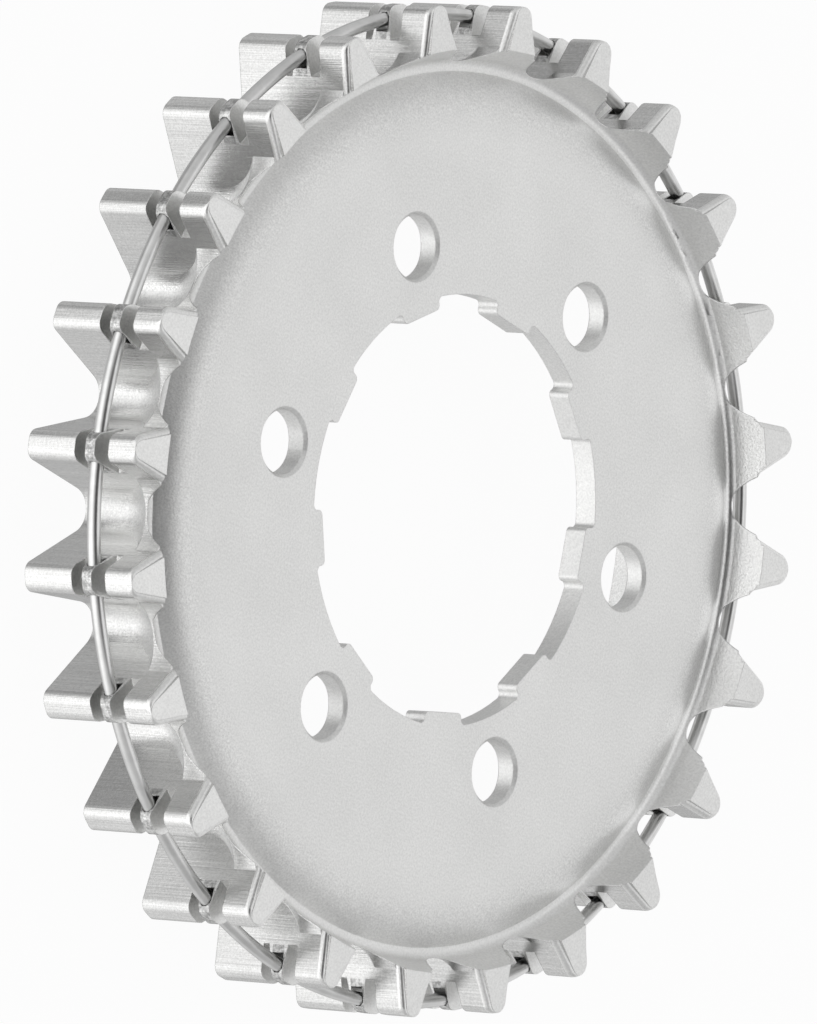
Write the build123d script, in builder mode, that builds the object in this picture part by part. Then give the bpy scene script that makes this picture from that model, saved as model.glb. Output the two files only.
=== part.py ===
import math
import os

from build123d import *

# Belt drive sprocket in two pieces: the toothed body, cast and then machined, and the guide
# wire that is threaded through the webs of the teeth and closed to a ring.
# Millimetres, axis on Z, rear rim on Z 0, the face with the bolt holes up.
# One bolt hole and one tooth space lie on +X.

# Belt and tooth spaces
teeth = 24
belt_pitch = 11.0
cord_gap = 1.0
tooth_depth = 7.42
flank_angle = 23.0
root_radius = 1.87
tip_rounding = 0.95
edge_rounding = 0.45
edge_steps = 4

# Run-out of each tooth space at the front
runout_radius = 4.4
runout_steps = 6

# Lands and slots along a tooth, from the rear rim forward
rear_land = 4.95
rear_slot = 1.1
web_top = 1.0
front_slot = 1.46
front_land = 2.84
slot_depth = 2.6
web_flare = 0.5
rear_chamfer = 0.3
front_rounding = 0.4

# Front: face, shoulder, groove and the cone behind the teeth
face_height = 10.0
shoulder_radius = 5.4
groove_depth = 1.37
groove_flat = 0.25
foot_fillet = 0.8
cone_angle = 20.3
crest_rise = 1.6
crest_inset = 3.72
crest_rounding = 0.15

# Plate and the hollow behind it
plate_thickness = 2.05
rim_wall = 1.5
cup_draft = 0.3
cup_fillet = 2.0
cup_mouth_chamfer = 0.4

# Bolt holes
bolt_holes = 6
bolt_circle = 44.0
bolt_hole = 5.2
hole_chamfer = 0.27

# Lugged bore
lugs = 9
bore_wall = 1.95
lug_height = 1.15
lug_width = 4.5
lug_corner = 0.45
lug_turn = 1.9

# Guide wire and its channel through the webs
wire_diameter = 1.12
wire_clearance = 0.03
wire_depth = 1.05
channel_drop = 0.35

# Worked out from the sizes above
tip_radius = teeth * belt_pitch / (2 * math.pi) - cord_gap
floor_radius = tip_radius - tooth_depth
half_angle = math.radians(flank_angle)
apex_radius = floor_radius - root_radius * (1 / math.sin(half_angle) - 1)
root_sag = root_radius * (1 - math.sin(half_angle))

front_z = rear_land + rear_slot + web_top + front_slot + front_land
crest_z = face_height + crest_rise
groove_z = face_height - groove_depth
plate_back = face_height - plate_thickness
web_z = rear_land + rear_slot + web_top / 2

crest_radius = tip_radius - crest_inset
cone_slope = math.tan(math.radians(cone_angle))
foot_radius = crest_radius - (crest_rise + groove_depth) * cone_slope
foot_run = foot_fillet * math.tan(math.radians(90 - cone_angle) / 2)
crease_radius = foot_radius - foot_run - groove_flat
shoulder_run = math.sqrt(shoulder_radius**2 - (shoulder_radius - groove_depth) ** 2)
cup_radius = floor_radius - rim_wall
slot_floor = tip_radius - slot_depth
notch_radius = (bolt_circle - bolt_hole) / 2 - bore_wall

wire_radius = wire_diameter / 2
ring_radius = tip_radius - wire_depth
channel_half = wire_radius + wire_clearance
channel_outer = ring_radius + channel_half
channel_inner = ring_radius - wire_radius - channel_drop
channel_corner = channel_half * math.tan(math.radians(22.5))

runout_rise = foot_radius - floor_radius
runout_end = math.acos(1 - runout_rise / runout_radius)
runout_start_z = groove_z - runout_radius * math.sin(runout_end)
past = 1.0
split_margin = 0.5


def flank_point(reach):
    """Point on one flank of the tooth space on +X, at a distance from the apex of the flanks."""
    return (apex_radius + reach * math.cos(half_angle), reach * math.sin(half_angle))


def mirrored(point):
    return (point[0], -point[1])


def floor_section(floor):
    """Lower part of a tooth space: round root on this floor, flanks up to the shared level."""
    root_reach = (floor + root_sag - apex_radius) / math.cos(half_angle)
    root, top = flank_point(root_reach), flank_point(split_reach)
    with BuildSketch() as section:
        with BuildLine():
            ThreePointArc(root, (floor, 0), mirrored(root))
            Polyline(root, top, mirrored(top), mirrored(root))
        make_face()
    return section.sketch


def gap_section(inner, spread=0.0):
    """Tooth space from the radius inner outward, with rounded tips and flanks moved apart."""
    apex = apex_radius - spread / math.sin(half_angle)
    across = (inner - apex) * math.tan(half_angle)
    reach = math.sqrt(tip_radius**2 - (apex * math.sin(half_angle)) ** 2)
    reach -= apex * math.cos(half_angle)
    corner_angle = math.atan2(reach * math.sin(half_angle), apex + reach * math.cos(half_angle))
    setback = tip_rounding * math.tan((math.pi / 2 + corner_angle - half_angle) / 2)
    start = (
        apex + (reach - setback) * math.cos(half_angle),
        (reach - setback) * math.sin(half_angle),
    )
    end_angle = corner_angle + setback / tip_radius
    end = (tip_radius * math.cos(end_angle), tip_radius * math.sin(end_angle))
    with BuildSketch() as section:
        with BuildLine():
            Polyline((inner, 0), (inner, across), start)
            TangentArc(start, end, tangent=(math.cos(half_angle), math.sin(half_angle)))
            Polyline(end, (tip_radius + past, end[1]), (tip_radius + past, 0), (inner, 0))
        make_face()
        mirror(about=Plane.XZ)
    return section.sketch


# Tooth space on +X: flanks and rounded tips are the same all along, only the floor rises at
# the front, in an arc, until it meets the groove; the front edges of the flanks are rounded
split_radius = foot_radius + root_sag + split_margin
split_reach = (split_radius - apex_radius) / math.cos(half_angle)

with BuildPart() as tooth_space:
    with BuildSketch(Plane.XY.offset(-past)):
        add(gap_section(split_radius))
    extrude(amount=crest_z + 2 * past)
    with BuildSketch(Plane.XY.offset(-past)):
        add(floor_section(floor_radius))
    extrude(amount=runout_start_z + past)
    for step in range(runout_steps + 1):
        turn = runout_end * step / runout_steps
        with BuildSketch(Plane.XY.offset(runout_start_z + runout_radius * math.sin(turn))):
            add(floor_section(floor_radius + runout_radius * (1 - math.cos(turn))))
    loft()
    with BuildSketch(Plane.XY.offset(groove_z)):
        add(floor_section(foot_radius))
    extrude(amount=crest_z + past - groove_z)
    for step in range(edge_steps + 1):
        turn = math.pi / 2 * step / edge_steps
        with BuildSketch(Plane.XY.offset(front_z - edge_rounding * (1 - math.sin(turn)))):
            add(gap_section(foot_radius, edge_rounding * (1 - math.cos(turn))))
    loft(ruled=True)
    with BuildSketch(Plane.XY.offset(front_z)):
        add(gap_section(foot_radius, edge_rounding))
    extrude(amount=crest_z + past - front_z)

with BuildPart() as toothed_body:
    # Turned blank: hollow cup, plate, shoulder, groove, cone, tooth fronts and tips
    with BuildSketch(Plane.XZ) as blank:
        with BuildLine():
            Line((0, plate_back), (0, face_height))
            Line((0, face_height), (crease_radius - shoulder_run, face_height))
            TangentArc(
                (crease_radius - shoulder_run, face_height),
                (crease_radius, groove_z),
                tangent=(1, 0),
            )
            Polyline(
                (crease_radius, groove_z),
                (foot_radius, groove_z),
                (crest_radius, crest_z),
                (tip_radius, front_z),
                (tip_radius, 0),
                (cup_radius + cup_draft, 0),
                (cup_radius, plate_back),
                (0, plate_back),
            )
        make_face()
        corners = blank.vertices()
        fillet(corners.sort_by_distance((foot_radius, groove_z, 0))[0], foot_fillet)
        fillet(corners.sort_by_distance((crest_radius, crest_z, 0))[0], crest_rounding)
        fillet(corners.sort_by_distance((tip_radius, front_z, 0))[0], front_rounding)
        fillet(corners.sort_by_distance((cup_radius, plate_back, 0))[0], cup_fillet)
        chamfer(corners.sort_by_distance((tip_radius, 0, 0))[0], rear_chamfer)
        chamfer(corners.sort_by_distance((cup_radius + cup_draft, 0, 0))[0], cup_mouth_chamfer)
    revolve(axis=Axis.Z)

    # Two belt slots that leave a web on every tooth, wider at its foot than at its top
    with BuildSketch(Plane.XZ):
        for near, far, flare in (
            (rear_land, rear_land + rear_slot, (0, -web_flare)),
            (front_z - front_land - front_slot, front_z - front_land, (web_flare, 0)),
        ):
            with BuildLine():
                Polyline(
                    (slot_floor, near + flare[0]),
                    (tip_radius, near),
                    (tip_radius + past, near),
                    (tip_radius + past, far),
                    (tip_radius, far),
                    (slot_floor, far + flare[1]),
                    close=True,
                )
            make_face()
    revolve(axis=Axis.Z, mode=Mode.SUBTRACT)

    # Channel for the guide wire through the webs, deeper than the wire, outer corners cut off
    with BuildSketch(Plane.XZ):
        with BuildLine():
            Polyline(
                (channel_inner, web_z - channel_half),
                (ring_radius + channel_corner, web_z - channel_half),
                (channel_outer, web_z - channel_corner),
                (channel_outer, web_z + channel_corner),
                (ring_radius + channel_corner, web_z + channel_half),
                (channel_inner, web_z + channel_half),
                close=True,
            )
        make_face()
    revolve(axis=Axis.Z, mode=Mode.SUBTRACT)

    with PolarLocations(0, teeth):
        add(tooth_space.part, mode=Mode.SUBTRACT)

    # Six bolt holes, both ends chamfered
    with Locations((0, 0, face_height)):
        with PolarLocations(bolt_circle / 2, bolt_holes):
            Hole(bolt_hole / 2, depth=plate_thickness)
    rims = toothed_body.edges().filter_by(GeomType.CIRCLE)
    rims = rims.filter_by(lambda rim: abs(rim.radius - bolt_hole / 2) < 1e-4)
    chamfer(rims, hole_chamfer)

    # Bore with square lugs that stand in from its wall
    with BuildSketch(Plane.XY.offset(face_height)) as bore:
        Circle(notch_radius)
        with PolarLocations(notch_radius, lugs, start_angle=lug_turn):
            Rectangle(2 * lug_height, lug_width, mode=Mode.SUBTRACT)
        fillet(bore.vertices(), lug_corner)
    extrude(amount=-plate_thickness, mode=Mode.SUBTRACT)

toothed_body.part.label = "toothed_body"

with BuildPart() as guide_ring:
    with Locations((0, 0, web_z)):
        Torus(ring_radius, wire_radius)

guide_ring.part.label = "guide_ring"

os.makedirs("parts", exist_ok=True)
export_step(toothed_body.part, "parts/toothed_body.step")
export_step(guide_ring.part, "parts/guide_ring.step")
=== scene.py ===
import math

import bpy
from mathutils import Matrix, Vector


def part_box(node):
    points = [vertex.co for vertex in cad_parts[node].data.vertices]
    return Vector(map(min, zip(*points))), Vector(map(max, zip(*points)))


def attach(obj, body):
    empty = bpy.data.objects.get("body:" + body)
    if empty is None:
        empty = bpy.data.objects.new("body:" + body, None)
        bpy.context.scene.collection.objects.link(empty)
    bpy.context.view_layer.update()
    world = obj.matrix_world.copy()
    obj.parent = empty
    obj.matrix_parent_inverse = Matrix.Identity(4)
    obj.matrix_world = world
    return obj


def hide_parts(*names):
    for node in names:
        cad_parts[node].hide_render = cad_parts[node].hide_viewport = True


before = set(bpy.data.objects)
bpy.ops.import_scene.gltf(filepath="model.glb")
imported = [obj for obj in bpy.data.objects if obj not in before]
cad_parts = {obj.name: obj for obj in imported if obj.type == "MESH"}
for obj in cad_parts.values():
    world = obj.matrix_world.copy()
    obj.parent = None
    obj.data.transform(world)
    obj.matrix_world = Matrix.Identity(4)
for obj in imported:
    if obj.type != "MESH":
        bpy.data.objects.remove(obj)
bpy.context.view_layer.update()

# Toothed body: one aluminium casting. Its plate, shoulder and tooth fronts are turned and then
# blasted with fine beads, and the tooth spaces and belt slots are milled along the axis and left
# bright, with the cutter's streaks.
METAL = (0.84, 0.84, 0.832)
# Painted highlight on the outward faces and painted shade on the flanks, as scales of the metal
# colour
LAND_PAINTED_HIGHLIGHT = 1.05
FLANK_PAINTED_SHADE = 0.88
# Painted shade on the narrow webs between the slots, as a scale of the metal colour
WEB_PAINTED_SHADE = 0.68
BLASTED_ROUGHNESS = 0.43
TURNED_ROUGHNESS = 0.3
MILLED_ROUGHNESS = 0.2
# Where each finish lies, in metres from the axis, and the web's height above the rear rim
PLATE_EDGE = 0.0335
CONE_START = 0.035
WEB_HEIGHT = 0.00655
WEB_HALF_WIDTH = 0.00062
WEB_FOOT = 0.0384
SHOULDER_FADE_IN = (0.0302, 0.0325)
SHOULDER_FADE_OUT = (0.0362, 0.0342)
# Detail: noise scales per metre, streaks per turn, per metre outward and along the axis
GRAIN_SCALE = 5200
CLOUD_SCALE = 130
MOTTLE_SCALE = 2600
SPECKLE_SCALE = 6500
STREAKS_ROUND = 420
STREAKS_OUTWARD = 9000
STREAKS_ALONG = 70
EDGE_ROUNDING = 0.00012
BUMP_DEPTH = 0.0001
BUMP_STRENGTH = 0.22


def new_material(name):
    """Node material: the material, its tree, its Principled shader and a maker of nodes."""
    material = bpy.data.materials.new(name)
    material.use_nodes = True
    tree = material.node_tree

    def node(kind, inputs=(), **settings):
        made = tree.nodes.new(kind)
        for key, value in settings.items():
            setattr(made, key, value)
        for key, value in dict(inputs).items():
            if isinstance(value, bpy.types.NodeSocket):
                tree.links.new(value, made.inputs[key])
            else:
                made.inputs[key].default_value = value
        return made

    return material, tree, tree.nodes["Principled BSDF"], node


def make_body_metal():
    """Blasted, turned and milled aluminium, each finish where its tool or the beads reached,
    with a painted highlight on the outward faces and painted shade on the flanks and webs.
    """
    material, tree, shader, node = new_material("sprocket metal")

    def ramp(value, low, high, to_low=0.0, to_high=1.0):
        return node("ShaderNodeMapRange", {
            "Value": value, "From Min": low, "From Max": high,
            "To Min": to_low, "To Max": to_high}).outputs[0]

    def times(a, b):
        return node("ShaderNodeMath", {0: a, 1: b}, operation="MULTIPLY").outputs[0]

    def blend(factor, a, b):
        return node("ShaderNodeMix", {"Factor": factor, "A": a, "B": b}).outputs[0]

    def noise(vector, scale, detail, roughness):
        return node("ShaderNodeTexNoise", {
            "Vector": vector, "Scale": scale, "Detail": detail,
            "Roughness": roughness}).outputs[0]

    place = node("ShaderNodeTexCoord").outputs["Object"]
    axes = node("ShaderNodeSeparateXYZ", {0: place}).outputs
    flat = node("ShaderNodeCombineXYZ", {"X": axes["X"], "Y": axes["Y"]}).outputs[0]
    radius = node("ShaderNodeVectorMath", {0: flat}, operation="LENGTH").outputs["Value"]
    turn = node("ShaderNodeMath", {0: axes["Y"], 1: axes["X"]}, operation="ARCTAN2").outputs[0]
    normal = node("ShaderNodeNewGeometry").outputs["Normal"]
    facing = node("ShaderNodeSeparateXYZ", {0: normal}).outputs["Z"]
    steepness = node("ShaderNodeMath", {0: facing}, operation="ABSOLUTE").outputs[0]
    along_axis = ramp(steepness, 0.06, 0.22, 1.0, 0.0)
    milled = times(along_axis, ramp(radius, PLATE_EDGE, PLATE_EDGE + 0.0004))

    # Blasted metal: fine grain over soft clouds
    grain = noise(place, GRAIN_SCALE, 3, 0.6)
    cloud = noise(place, CLOUD_SCALE, 4, 0.55)
    blasted = times(ramp(grain, 0.3, 0.7, 0.89, 1.07), ramp(cloud, 0.3, 0.7, 0.96, 1.02))
    # Milled metal: narrow streaks along the axis
    wrapped = node("ShaderNodeCombineXYZ", {
        "X": times(turn, STREAKS_ROUND), "Y": times(radius, STREAKS_OUTWARD),
        "Z": times(axes["Z"], STREAKS_ALONG)}).outputs[0]
    streak = noise(wrapped, 1, 3, 0.7)
    cut = times(ramp(streak, 0.3, 0.7, 0.84, 1.08), ramp(cloud, 0.3, 0.7, 0.94, 1.03))
    # Painted light: faces turned outward, the tips and the roots, are painted brighter as a
    # painted highlight, and the flanks darker as painted shade
    outward = node("ShaderNodeVectorMath", {0: flat}, operation="NORMALIZE").outputs[0]
    painted_light_aim = node("ShaderNodeVectorMath", {0: normal, 1: outward}, operation="DOT_PRODUCT")
    cut = times(cut, ramp(painted_light_aim.outputs["Value"], 0.45, 0.9, FLANK_PAINTED_SHADE, LAND_PAINTED_HIGHLIGHT))
    cut = times(cut, ramp(grain, 0.32, 0.68, 0.88, 1.09))
    # Painted shade: the narrow webs between the slots are painted darker, with a mottled tone
    web_level = node("ShaderNodeMath", {0: axes["Z"], 1: WEB_HEIGHT, 2: WEB_HALF_WIDTH},
                     operation="COMPARE").outputs[0]
    web = times(times(web_level, ramp(radius, WEB_FOOT, WEB_FOOT + 0.0001)), milled)
    mottle = noise(place, MOTTLE_SCALE, 2, 0.5)
    cut = times(cut, blend(web, 1.0, ramp(mottle, 0.35, 0.65, WEB_PAINTED_SHADE - 0.2, WEB_PAINTED_SHADE + 0.2)))
    # The round shoulder keeps a finer, darker speckle than the plate
    speckle = noise(place, SPECKLE_SCALE, 2, 0.6)
    shoulder = times(ramp(radius, *SHOULDER_FADE_IN), ramp(radius, *SHOULDER_FADE_OUT))
    tone = times(blend(milled, blasted, cut),
                 blend(shoulder, 1.0, ramp(speckle, 0.36, 0.66, 0.88, 1.05)))
    colour = node("ShaderNodeVectorMath", {0: METAL, "Scale": tone}, operation="SCALE")
    tree.links.new(colour.outputs[0], shader.inputs["Base Color"])

    turned = ramp(radius, CONE_START, CONE_START + 0.0007, BLASTED_ROUGHNESS, TURNED_ROUGHNESS)
    bright = ramp(streak, 0.3, 0.7, MILLED_ROUGHNESS + 0.08, MILLED_ROUGHNESS - 0.04)
    tree.links.new(blend(milled, turned, bright), shader.inputs["Roughness"])
    shader.inputs["Metallic"].default_value = 1.0
    rounded = node("ShaderNodeBevel", {"Radius": EDGE_ROUNDING}, samples=4).outputs[0]
    bump = node("ShaderNodeBump", {
        "Height": blend(milled, grain, streak), "Strength": BUMP_STRENGTH,
        "Distance": BUMP_DEPTH, "Normal": rounded}).outputs[0]
    tree.links.new(bump, shader.inputs["Normal"])
    return material


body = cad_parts["toothed_body"]
body.data.materials.clear()
body.data.materials.append(make_body_metal())

# Guide wire: one drawn and polished steel wire, threaded through the web of every tooth and
# closed to a ring.
WIRE = (0.74, 0.74, 0.735)
WIRE_ROUGHNESS = 0.28
DRAWN_SCALE = 900
RING_STEPS = 360
WIRE_STEPS = 28
wire_low, wire_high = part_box("guide_ring")
wire_radius = (wire_high[2] - wire_low[2]) / 2
ring_radius = wire_high[0] - wire_radius
ring_height = wire_low[2] + wire_radius


def make_wire_metal():
    """Polished steel with the soft light and dark runs of a drawn wire."""
    material, tree, shader, node = new_material("polished wire")
    place = node("ShaderNodeTexCoord").outputs["Object"]
    drawn = node("ShaderNodeTexNoise", {
        "Vector": place, "Scale": DRAWN_SCALE, "Detail": 2}).outputs[0]
    tone = node("ShaderNodeMapRange", {
        "Value": drawn, "From Min": 0.3, "From Max": 0.7,
        "To Min": 0.92, "To Max": 1.05}).outputs[0]
    colour = node("ShaderNodeVectorMath", {0: WIRE, "Scale": tone}, operation="SCALE").outputs[0]
    tree.links.new(colour, shader.inputs["Base Color"])
    shader.inputs["Metallic"].default_value = 1.0
    shader.inputs["Roughness"].default_value = WIRE_ROUGHNESS
    return material


def bent_wire(name, material, sizes):
    """Closed round wire on a circle, made by Geometry Nodes and turned into a plain mesh."""
    tree = bpy.data.node_groups.new(name, "GeometryNodeTree")
    sockets = {}
    for label, value in sizes.items():
        kind = "NodeSocketInt" if isinstance(value, int) else "NodeSocketFloat"
        socket = tree.interface.new_socket(label, in_out="INPUT", socket_type=kind)
        sockets[label] = socket.identifier
    tree.interface.new_socket("Geometry", in_out="OUTPUT", socket_type="NodeSocketGeometry")
    given = tree.nodes.new("NodeGroupInput").outputs
    link = tree.links.new
    path = tree.nodes.new("GeometryNodeCurvePrimitiveCircle")
    link(given["Steps round the ring"], path.inputs["Resolution"])
    link(given["Ring radius"], path.inputs["Radius"])
    section = tree.nodes.new("GeometryNodeCurvePrimitiveCircle")
    link(given["Steps round the wire"], section.inputs["Resolution"])
    link(given["Wire radius"], section.inputs["Radius"])
    swept = tree.nodes.new("GeometryNodeCurveToMesh")
    link(path.outputs["Curve"], swept.inputs["Curve"])
    link(section.outputs["Curve"], swept.inputs["Profile Curve"])
    lift = tree.nodes.new("ShaderNodeCombineXYZ")
    link(given["Height"], lift.inputs["Z"])
    lifted = tree.nodes.new("GeometryNodeTransform")
    link(swept.outputs["Mesh"], lifted.inputs["Geometry"])
    link(lift.outputs[0], lifted.inputs["Translation"])
    smooth = tree.nodes.new("GeometryNodeSetShadeSmooth")
    link(lifted.outputs["Geometry"], smooth.inputs["Geometry"])
    real = tree.nodes.new("GeometryNodeRealizeInstances")
    link(smooth.outputs["Geometry"], real.inputs["Geometry"])
    finish = tree.nodes.new("GeometryNodeSetMaterial")
    finish.inputs["Material"].default_value = material
    link(real.outputs["Geometry"], finish.inputs["Geometry"])
    link(finish.outputs["Geometry"], tree.nodes.new("NodeGroupOutput").inputs[0])

    maker = bpy.data.objects.new(name + " maker", bpy.data.meshes.new(name + " maker"))
    bpy.context.scene.collection.objects.link(maker)
    modifier = maker.modifiers.new(name, "NODES")
    modifier.node_group = tree
    for label, value in sizes.items():
        modifier[sockets[label]] = value
    graph = bpy.context.evaluated_depsgraph_get()
    mesh = bpy.data.meshes.new_from_object(
        maker.evaluated_get(graph), preserve_all_data_layers=True, depsgraph=graph)
    bpy.data.objects.remove(maker)
    mesh.name = name
    piece = bpy.data.objects.new(name, mesh)
    bpy.context.scene.collection.objects.link(piece)
    return piece


wire = bent_wire("guide_wire", make_wire_metal(), {
    "Ring radius": ring_radius, "Wire radius": wire_radius, "Height": ring_height,
    "Steps round the ring": RING_STEPS, "Steps round the wire": WIRE_STEPS})
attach(wire, "root")
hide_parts("guide_ring")

# Stage: the camera at the photograph's angle, and a pale paper floor under the rear rim that is
# nearly white to the camera and is left out of the metal's reflections.
LOOK_AZIMUTH = math.radians(192.2)
LOOK_ELEVATION = math.radians(40.65)
ROLL = math.radians(93.345)
DISTANCE = 1.5
PHOTO = (817, 1024)
METRES_PER_PIXEL = 1 / 12.405 / 1000
FACE_HEIGHT = 0.01
FACE_CENTRE_PIXEL = (455.9, 510.4)
SENSOR = 36

away = Vector((math.cos(LOOK_ELEVATION) * math.cos(LOOK_AZIMUTH),
               math.cos(LOOK_ELEVATION) * math.sin(LOOK_AZIMUTH),
               math.sin(LOOK_ELEVATION)))
level = Vector((-math.sin(LOOK_AZIMUTH), math.cos(LOOK_AZIMUTH), 0))
upright = away.cross(level)
picture_right = level * math.cos(ROLL) + upright * math.sin(ROLL)
picture_up = upright * math.cos(ROLL) - level * math.sin(ROLL)
middle = (Vector((0, 0, FACE_HEIGHT))
          + picture_right * (PHOTO[0] / 2 - FACE_CENTRE_PIXEL[0]) * METRES_PER_PIXEL
          - picture_up * (PHOTO[1] / 2 - FACE_CENTRE_PIXEL[1]) * METRES_PER_PIXEL)
camera_data = bpy.data.cameras.new("camera")
camera_data.sensor_width = SENSOR
camera_data.lens = SENSOR * DISTANCE / (PHOTO[1] * METRES_PER_PIXEL)
camera_data.clip_start = 0.1
camera_data.clip_end = 100
camera = bpy.data.objects.new("camera", camera_data)
turned = Matrix((picture_right, picture_up, away)).transposed().to_4x4()
camera.matrix_world = Matrix.Translation(middle + away * DISTANCE) @ turned
bpy.context.scene.collection.objects.link(camera)
bpy.context.scene.camera = camera

FLOOR = 3.0
PAPER = 0.9
WHITE_SHARE = 0.95
floor_mesh = bpy.data.meshes.new("floor")
floor_mesh.from_pydata(
    [(-FLOOR, -FLOOR, 0), (FLOOR, -FLOOR, 0), (FLOOR, FLOOR, 0), (-FLOOR, FLOOR, 0)],
    [], [(0, 1, 2, 3)])
floor = bpy.data.objects.new("floor", floor_mesh)
bpy.context.scene.collection.objects.link(floor)
paper, tree, shader, node = new_material("pale paper")
shader.inputs["Base Color"].default_value = (PAPER, PAPER, PAPER, 1)
shader.inputs["Roughness"].default_value = 0.9
rays = node("ShaderNodeLightPath").outputs
seen = node("ShaderNodeMath", {0: rays["Is Camera Ray"], 1: rays["Is Transmission Ray"]},
            operation="MAXIMUM").outputs[0]
share = node("ShaderNodeMath", {0: seen, 1: WHITE_SHARE}, operation="MULTIPLY").outputs[0]
white = node("ShaderNodeEmission", {"Color": (1, 1, 1, 1), "Strength": 1.0}).outputs[0]
mixed = node("ShaderNodeMixShader", {0: share, 1: shader.outputs[0], 2: white}).outputs[0]
tree.links.new(mixed, tree.nodes["Material Output"].inputs["Surface"])
floor_mesh.materials.append(paper)
floor.visible_glossy = False

# Studio round it: an even white tent with soft brighter and darker cards. Each card has its
# turn from the camera's azimuth and its height in degrees, the angles at which it is full and
# gone, and what it adds to the tent's light.
TENT = 0.75
DARKEST = 0.02
CARDS = (
    ("low front", 0, -15, 10, 60, 0.78),
    ("deep front", 0, -45, 8, 45, -0.23),
    ("deep front, lower side", 35, -41, 8, 32, 0.22),
    ("deep front, upper side", 300, -40, 8, 32, -0.22),
    ("deep side", 262, -38, 10, 50, -0.19),
    ("horizon behind", 180, -4, 8, 40, 0.26),
    ("deep behind", 180, -45, 10, 50, -0.26),
    ("crown towards the camera", 0, 74, 8, 30, -0.8),
    ("crown behind", 180, 70, 5, 30, 0.31),
    ("high front", 0, 47, 8, 38, -0.36),
    ("high side", 100, 25, 10, 50, -0.24),
    ("other high side", 260, 25, 10, 50, -0.13),
)
world = bpy.data.worlds.new("studio")
world.use_nodes = True
bpy.context.scene.world = world
sky = world.node_tree
direction = sky.nodes.new("ShaderNodeTexCoord").outputs["Generated"]
light = None
for name, turn, height, full, gone, change in CARDS:
    around, above = LOOK_AZIMUTH + math.radians(turn), math.radians(height)
    towards = sky.nodes.new("ShaderNodeVectorMath")
    towards.operation = "DOT_PRODUCT"
    towards.inputs[1].default_value = (
        math.cos(above) * math.cos(around), math.cos(above) * math.sin(around), math.sin(above))
    sky.links.new(direction, towards.inputs[0])
    card = sky.nodes.new("ShaderNodeMapRange")
    card.label = name
    card.interpolation_type = "SMOOTHSTEP"
    card.inputs["From Min"].default_value = math.cos(math.radians(gone))
    card.inputs["From Max"].default_value = math.cos(math.radians(full))
    card.inputs["To Min"].default_value = 0.0
    card.inputs["To Max"].default_value = change
    sky.links.new(towards.outputs["Value"], card.inputs["Value"])
    added = sky.nodes.new("ShaderNodeMath")
    added.inputs[1].default_value = TENT
    if light:
        sky.links.new(light, added.inputs[1])
    sky.links.new(card.outputs["Result"], added.inputs[0])
    light = added.outputs[0]
kept = sky.nodes.new("ShaderNodeMath")
kept.operation = "MAXIMUM"
kept.inputs[1].default_value = DARKEST
sky.links.new(light, kept.inputs[0])
sky.nodes["Background"].inputs["Color"].default_value = (1, 1, 1, 1)
sky.links.new(kept.outputs[0], sky.nodes["Background"].inputs["Strength"])

bpy.context.scene.view_settings.view_transform = "Standard"
